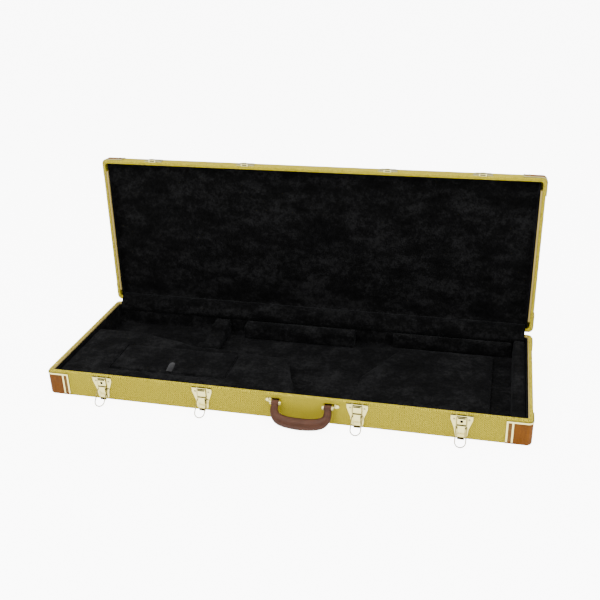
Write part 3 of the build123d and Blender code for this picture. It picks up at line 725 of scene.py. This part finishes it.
def cap_stitches(cap_top):
    """Seams down the leather between each cap's two metal lines, in the frame of a panel lying at z = 0."""
    cap_length, cap_depth, skin = 50 * MM, 40 * MM, 1.4 * MM
    inset = 7.1 * MM
    pitch = 3.9 * MM
    thread = (2.8 * MM, 0.9 * MM, 0.45 * MM)  # a stitch's length, width and height
    foot = 8 * MM
    count = int((cap_top - foot) / pitch)
    spots = []
    for side_x in (-1, 1):
        for side_y in (-1, 1):
            for row in (-1.1 * MM, 1.1 * MM):
                for k in range(count):
                    z = foot + (k + 0.5) * pitch
                    x = side_x * (CASE_HALF.x - cap_length + inset + row)
                    y = side_y * (CASE_HALF.y + skin)
                    tilt = Vector((0.35 if row > 0 else -0.35, 0, 1)).normalized()
                    spots.append((Vector((x, y, z)), tilt, Vector((0, side_y, 0)), *thread))
                    x = side_x * (CASE_HALF.x + skin)
                    y = side_y * (CASE_HALF.y - cap_depth + inset + row)
                    tilt = Vector((0, 0.35 if row > 0 else -0.35, 1)).normalized()
                    spots.append((Vector((x, y, z)), tilt, Vector((side_x, 0, 0)), *thread))
    return spots


def build_cap_stitches():
    base = cap_stitches(51 * MM)
    stitch_piece("base_cap_stitches", "base", "pale_thread", base)
    lid_flip = LID_OPEN @ Matrix.Translation((0, 0, LID_RIM_Z + LID_DEPTH)) @ Matrix.Scale(-1, 4, (0, 0, 1))
    turn = lid_flip.to_3x3()
    lid = [
        (lid_flip @ centre, (turn @ along).normalized(), (turn @ normal).normalized(), *sizes)
        for centre, along, normal, *sizes in cap_stitches(23 * MM)
    ]
    stitch_piece("lid_cap_stitches", "lid", "pale_thread", lid)


def surface_tree(node):
    mesh = nodes[node].data
    return BVHTree.FromPolygons([v.co for v in mesh.vertices], [p.vertices for p in mesh.polygons])


def build_handle_stitches():
    """Dark thread along both sides of the grip's outer edge, and of its inner one."""
    tree = surface_tree("handle")
    pivot = Vector(joint("handle_hinge")["pos_m"])
    middle = [v.co - pivot for v in nodes["handle"].data.vertices if abs(v.co.x - pivot.x) < 8 * MM]
    hang = sum(middle, Vector())
    down = Vector((0, hang.y, hang.z)).normalized()
    face = Vector((0, down.z, -down.y))
    stitches = []
    # half length of the seam, where its ray starts below the pivot, which way the ray runs
    for seam_half, reach, way in ((52 * MM, 0.08, -down), (38 * MM, 0.012, down)):
        count = int(2 * seam_half / (2.6 * MM))
        for side in (-1, 1):
            points = []
            for k in range(count + 1):
                x = -seam_half + 2 * seam_half * k / count
                edge, *_ = tree.ray_cast(pivot + Vector((x, 0, 0)) + down * reach, way)
                if edge is None:
                    continue
                above = edge + way * 0.9 * MM + face * side * 30 * MM
                spot, normal, *_ = tree.ray_cast(above, -face * side)
                if spot is not None:
                    points.append((spot, normal if normal.dot(face * side) > 0 else -normal))
            for (spot, normal), (after, _) in zip(points, points[1:]):
                along = after - spot
                if along.length < 7 * MM:
                    middle_of_stitch = (spot + after) / 2
                    sizes = (along.length * 0.58, 1.7 * MM, 1.0 * MM)
                    stitches.append((middle_of_stitch, along.normalized(), normal, *sizes))
    stitch_piece("handle_stitches", "handle", "thread", stitches)


def build_latch_slots():
    """A dark bar laid on each latch, for the slot that the photo shows. The CAD has no opening there,
    and the metal's face is not flat, so the bar sinks partly into it."""
    half_width, proud = 7.6 * MM, 0.12 * MM
    low_z, high_z = 50.3 * MM, 52.9 * MM
    bm = bmesh.new()
    for number in LATCHES:
        x = joint(f"latch_lever_hinge_{number}")["pos_m"][0]
        in_front = Vector((x, -0.3, (low_z + high_z) / 2))
        spot, *_ = surface_tree(f"latch_plate_{number}").ray_cast(in_front, Vector((0, 1, 0)))
        if spot is None:
            continue
        # each bar is painted shade, standing for the shadow inside a slot
        size = Vector((2 * half_width, 2 * proud, high_z - low_z))
        shape = Matrix.Translation(spot) @ Matrix.Diagonal((*size, 1.0))
        bmesh.ops.create_cube(bm, size=1.0, matrix=shape)
    piece = object_from("latch_slots", bm, MATERIALS["dark_gap"], smooth=False)
    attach(piece, "base")


# ---------------------------------------------------------------- stage
# extra glow of the sweep and of the space behind it, in camera rays and in mirror rays
FLOOR_SEEN, FLOOR_MIRRORED, SPACE_SEEN = 8.5, 1.15, 9.0
CAMERA_PLACE = (0.4228, -1.5956, 0.9659)
CAMERA_YAW, CAMERA_PITCH, CAMERA_ROLL = 14.34, 25.19, -1.72  # degrees
LENS, SENSOR = 49.8, 36  # millimetres


def build_camera():
    """The photographer's place: in front, a little to the right, looking down."""
    yaw, pitch, roll = (math.radians(a) for a in (CAMERA_YAW, CAMERA_PITCH, CAMERA_ROLL))
    right = Vector((math.cos(yaw), math.sin(yaw), 0))
    ahead = Vector((-math.sin(yaw) * math.cos(pitch), math.cos(yaw) * math.cos(pitch), -math.sin(pitch)))
    up = right.cross(ahead)
    rolled_right = right * math.cos(roll) + up * math.sin(roll)
    rolled_up = up * math.cos(roll) - right * math.sin(roll)
    turn = Matrix((rolled_right, rolled_up, -ahead)).transposed()
    camera = bpy.data.objects.new("camera", bpy.data.cameras.new("camera"))
    bpy.context.scene.collection.objects.link(camera)
    camera.matrix_world = Matrix.Translation(CAMERA_PLACE) @ turn.to_4x4()
    camera.data.sensor_width = SENSOR
    camera.data.lens = LENS
    bpy.context.scene.camera = camera


def build_light(name, place, target, size, power):
    data = bpy.data.lights.new(name, "AREA")
    data.shape = "RECTANGLE"
    data.size, data.size_y = size
    data.energy = power
    light = bpy.data.objects.new(name, data)
    bpy.context.scene.collection.objects.link(light)
    light.location = place
    light.rotation_euler = (Vector(target) - Vector(place)).to_track_quat("-Z", "Y").to_euler()


def sweep_glow(tree, seen, reflected):
    """How much brighter the overexposed sweep is where it is looked at, and where metal mirrors it."""
    path = tree.nodes.new("ShaderNodeLightPath")
    total = None
    for ray, amount in (("Is Camera Ray", seen), ("Is Glossy Ray", reflected)):
        node = tree.nodes.new("ShaderNodeMath")
        node.operation = "MULTIPLY_ADD"
        tree.links.new(path.outputs[ray], node.inputs[0])
        node.inputs[1].default_value = amount
        node.inputs[2].default_value = 0.0
        if total is not None:
            tree.links.new(total, node.inputs[2])
        total = node.outputs[0]
    return total


def build_stage():
    """A white sweep that photographs almost pure white, under three large soft lights."""
    bm = bmesh.new()
    bmesh.ops.create_grid(bm, x_segments=2, y_segments=2, size=30)
    look = Graph("floor")
    tone = look.mix(look.noise(3.0), (0.88, 0.88, 0.88), (0.91, 0.91, 0.91))
    floor = object_from("floor", bm, look.finish(Base_Color=tone, Roughness=0.9), smooth=False)
    look.feed(look.shader, "Emission Color", (1, 1, 1, 1))
    look.feed(look.shader, "Emission Strength", sweep_glow(look.tree, FLOOR_SEEN, FLOOR_MIRRORED))

    world = bpy.data.worlds.new("studio")
    world.use_nodes = True
    tree = world.node_tree
    background = tree.nodes["Background"]
    split = tree.nodes.new("ShaderNodeSeparateXYZ")
    tree.links.new(tree.nodes.new("ShaderNodeTexCoord").outputs["Generated"], split.inputs[0])
    height = tree.nodes.new("ShaderNodeMapRange")
    height.inputs["From Min"].default_value = 0.0
    height.inputs["From Max"].default_value = 0.8
    height.inputs["To Min"].default_value = 0.35
    height.inputs["To Max"].default_value = 1.15
    tree.links.new(split.outputs["Z"], height.inputs["Value"])
    total = tree.nodes.new("ShaderNodeMath")
    tree.links.new(sweep_glow(tree, SPACE_SEEN, 0.0), total.inputs[0])
    tree.links.new(height.outputs["Result"], total.inputs[1])
    tree.links.new(total.outputs[0], background.inputs["Strength"])
    background.inputs["Color"].default_value = (1, 1, 1, 1)
    bpy.context.scene.world = world
    build_light("key", (-0.9, -1.5, 2.2), (0, 0, 0.1), (1.6, 1.2), 44)
    build_light("fill", (1.8, -1.3, 1.1), (0, 0, 0.15), (1.2, 1.2), 16)
    build_light("top", (0.2, 0.5, 2.4), (0, 0.1, 0), (1.8, 1.0), 22)


build_camera()
build_stage()
repaint_cad_nodes()
build_base_lining()
build_lid_lining()
build_pads()
build_accessory_box()
build_accessory_lid()
build_pull_tab()
build_hinge_flap()
build_cap_stitches()
build_handle_stitches()
build_latch_slots()
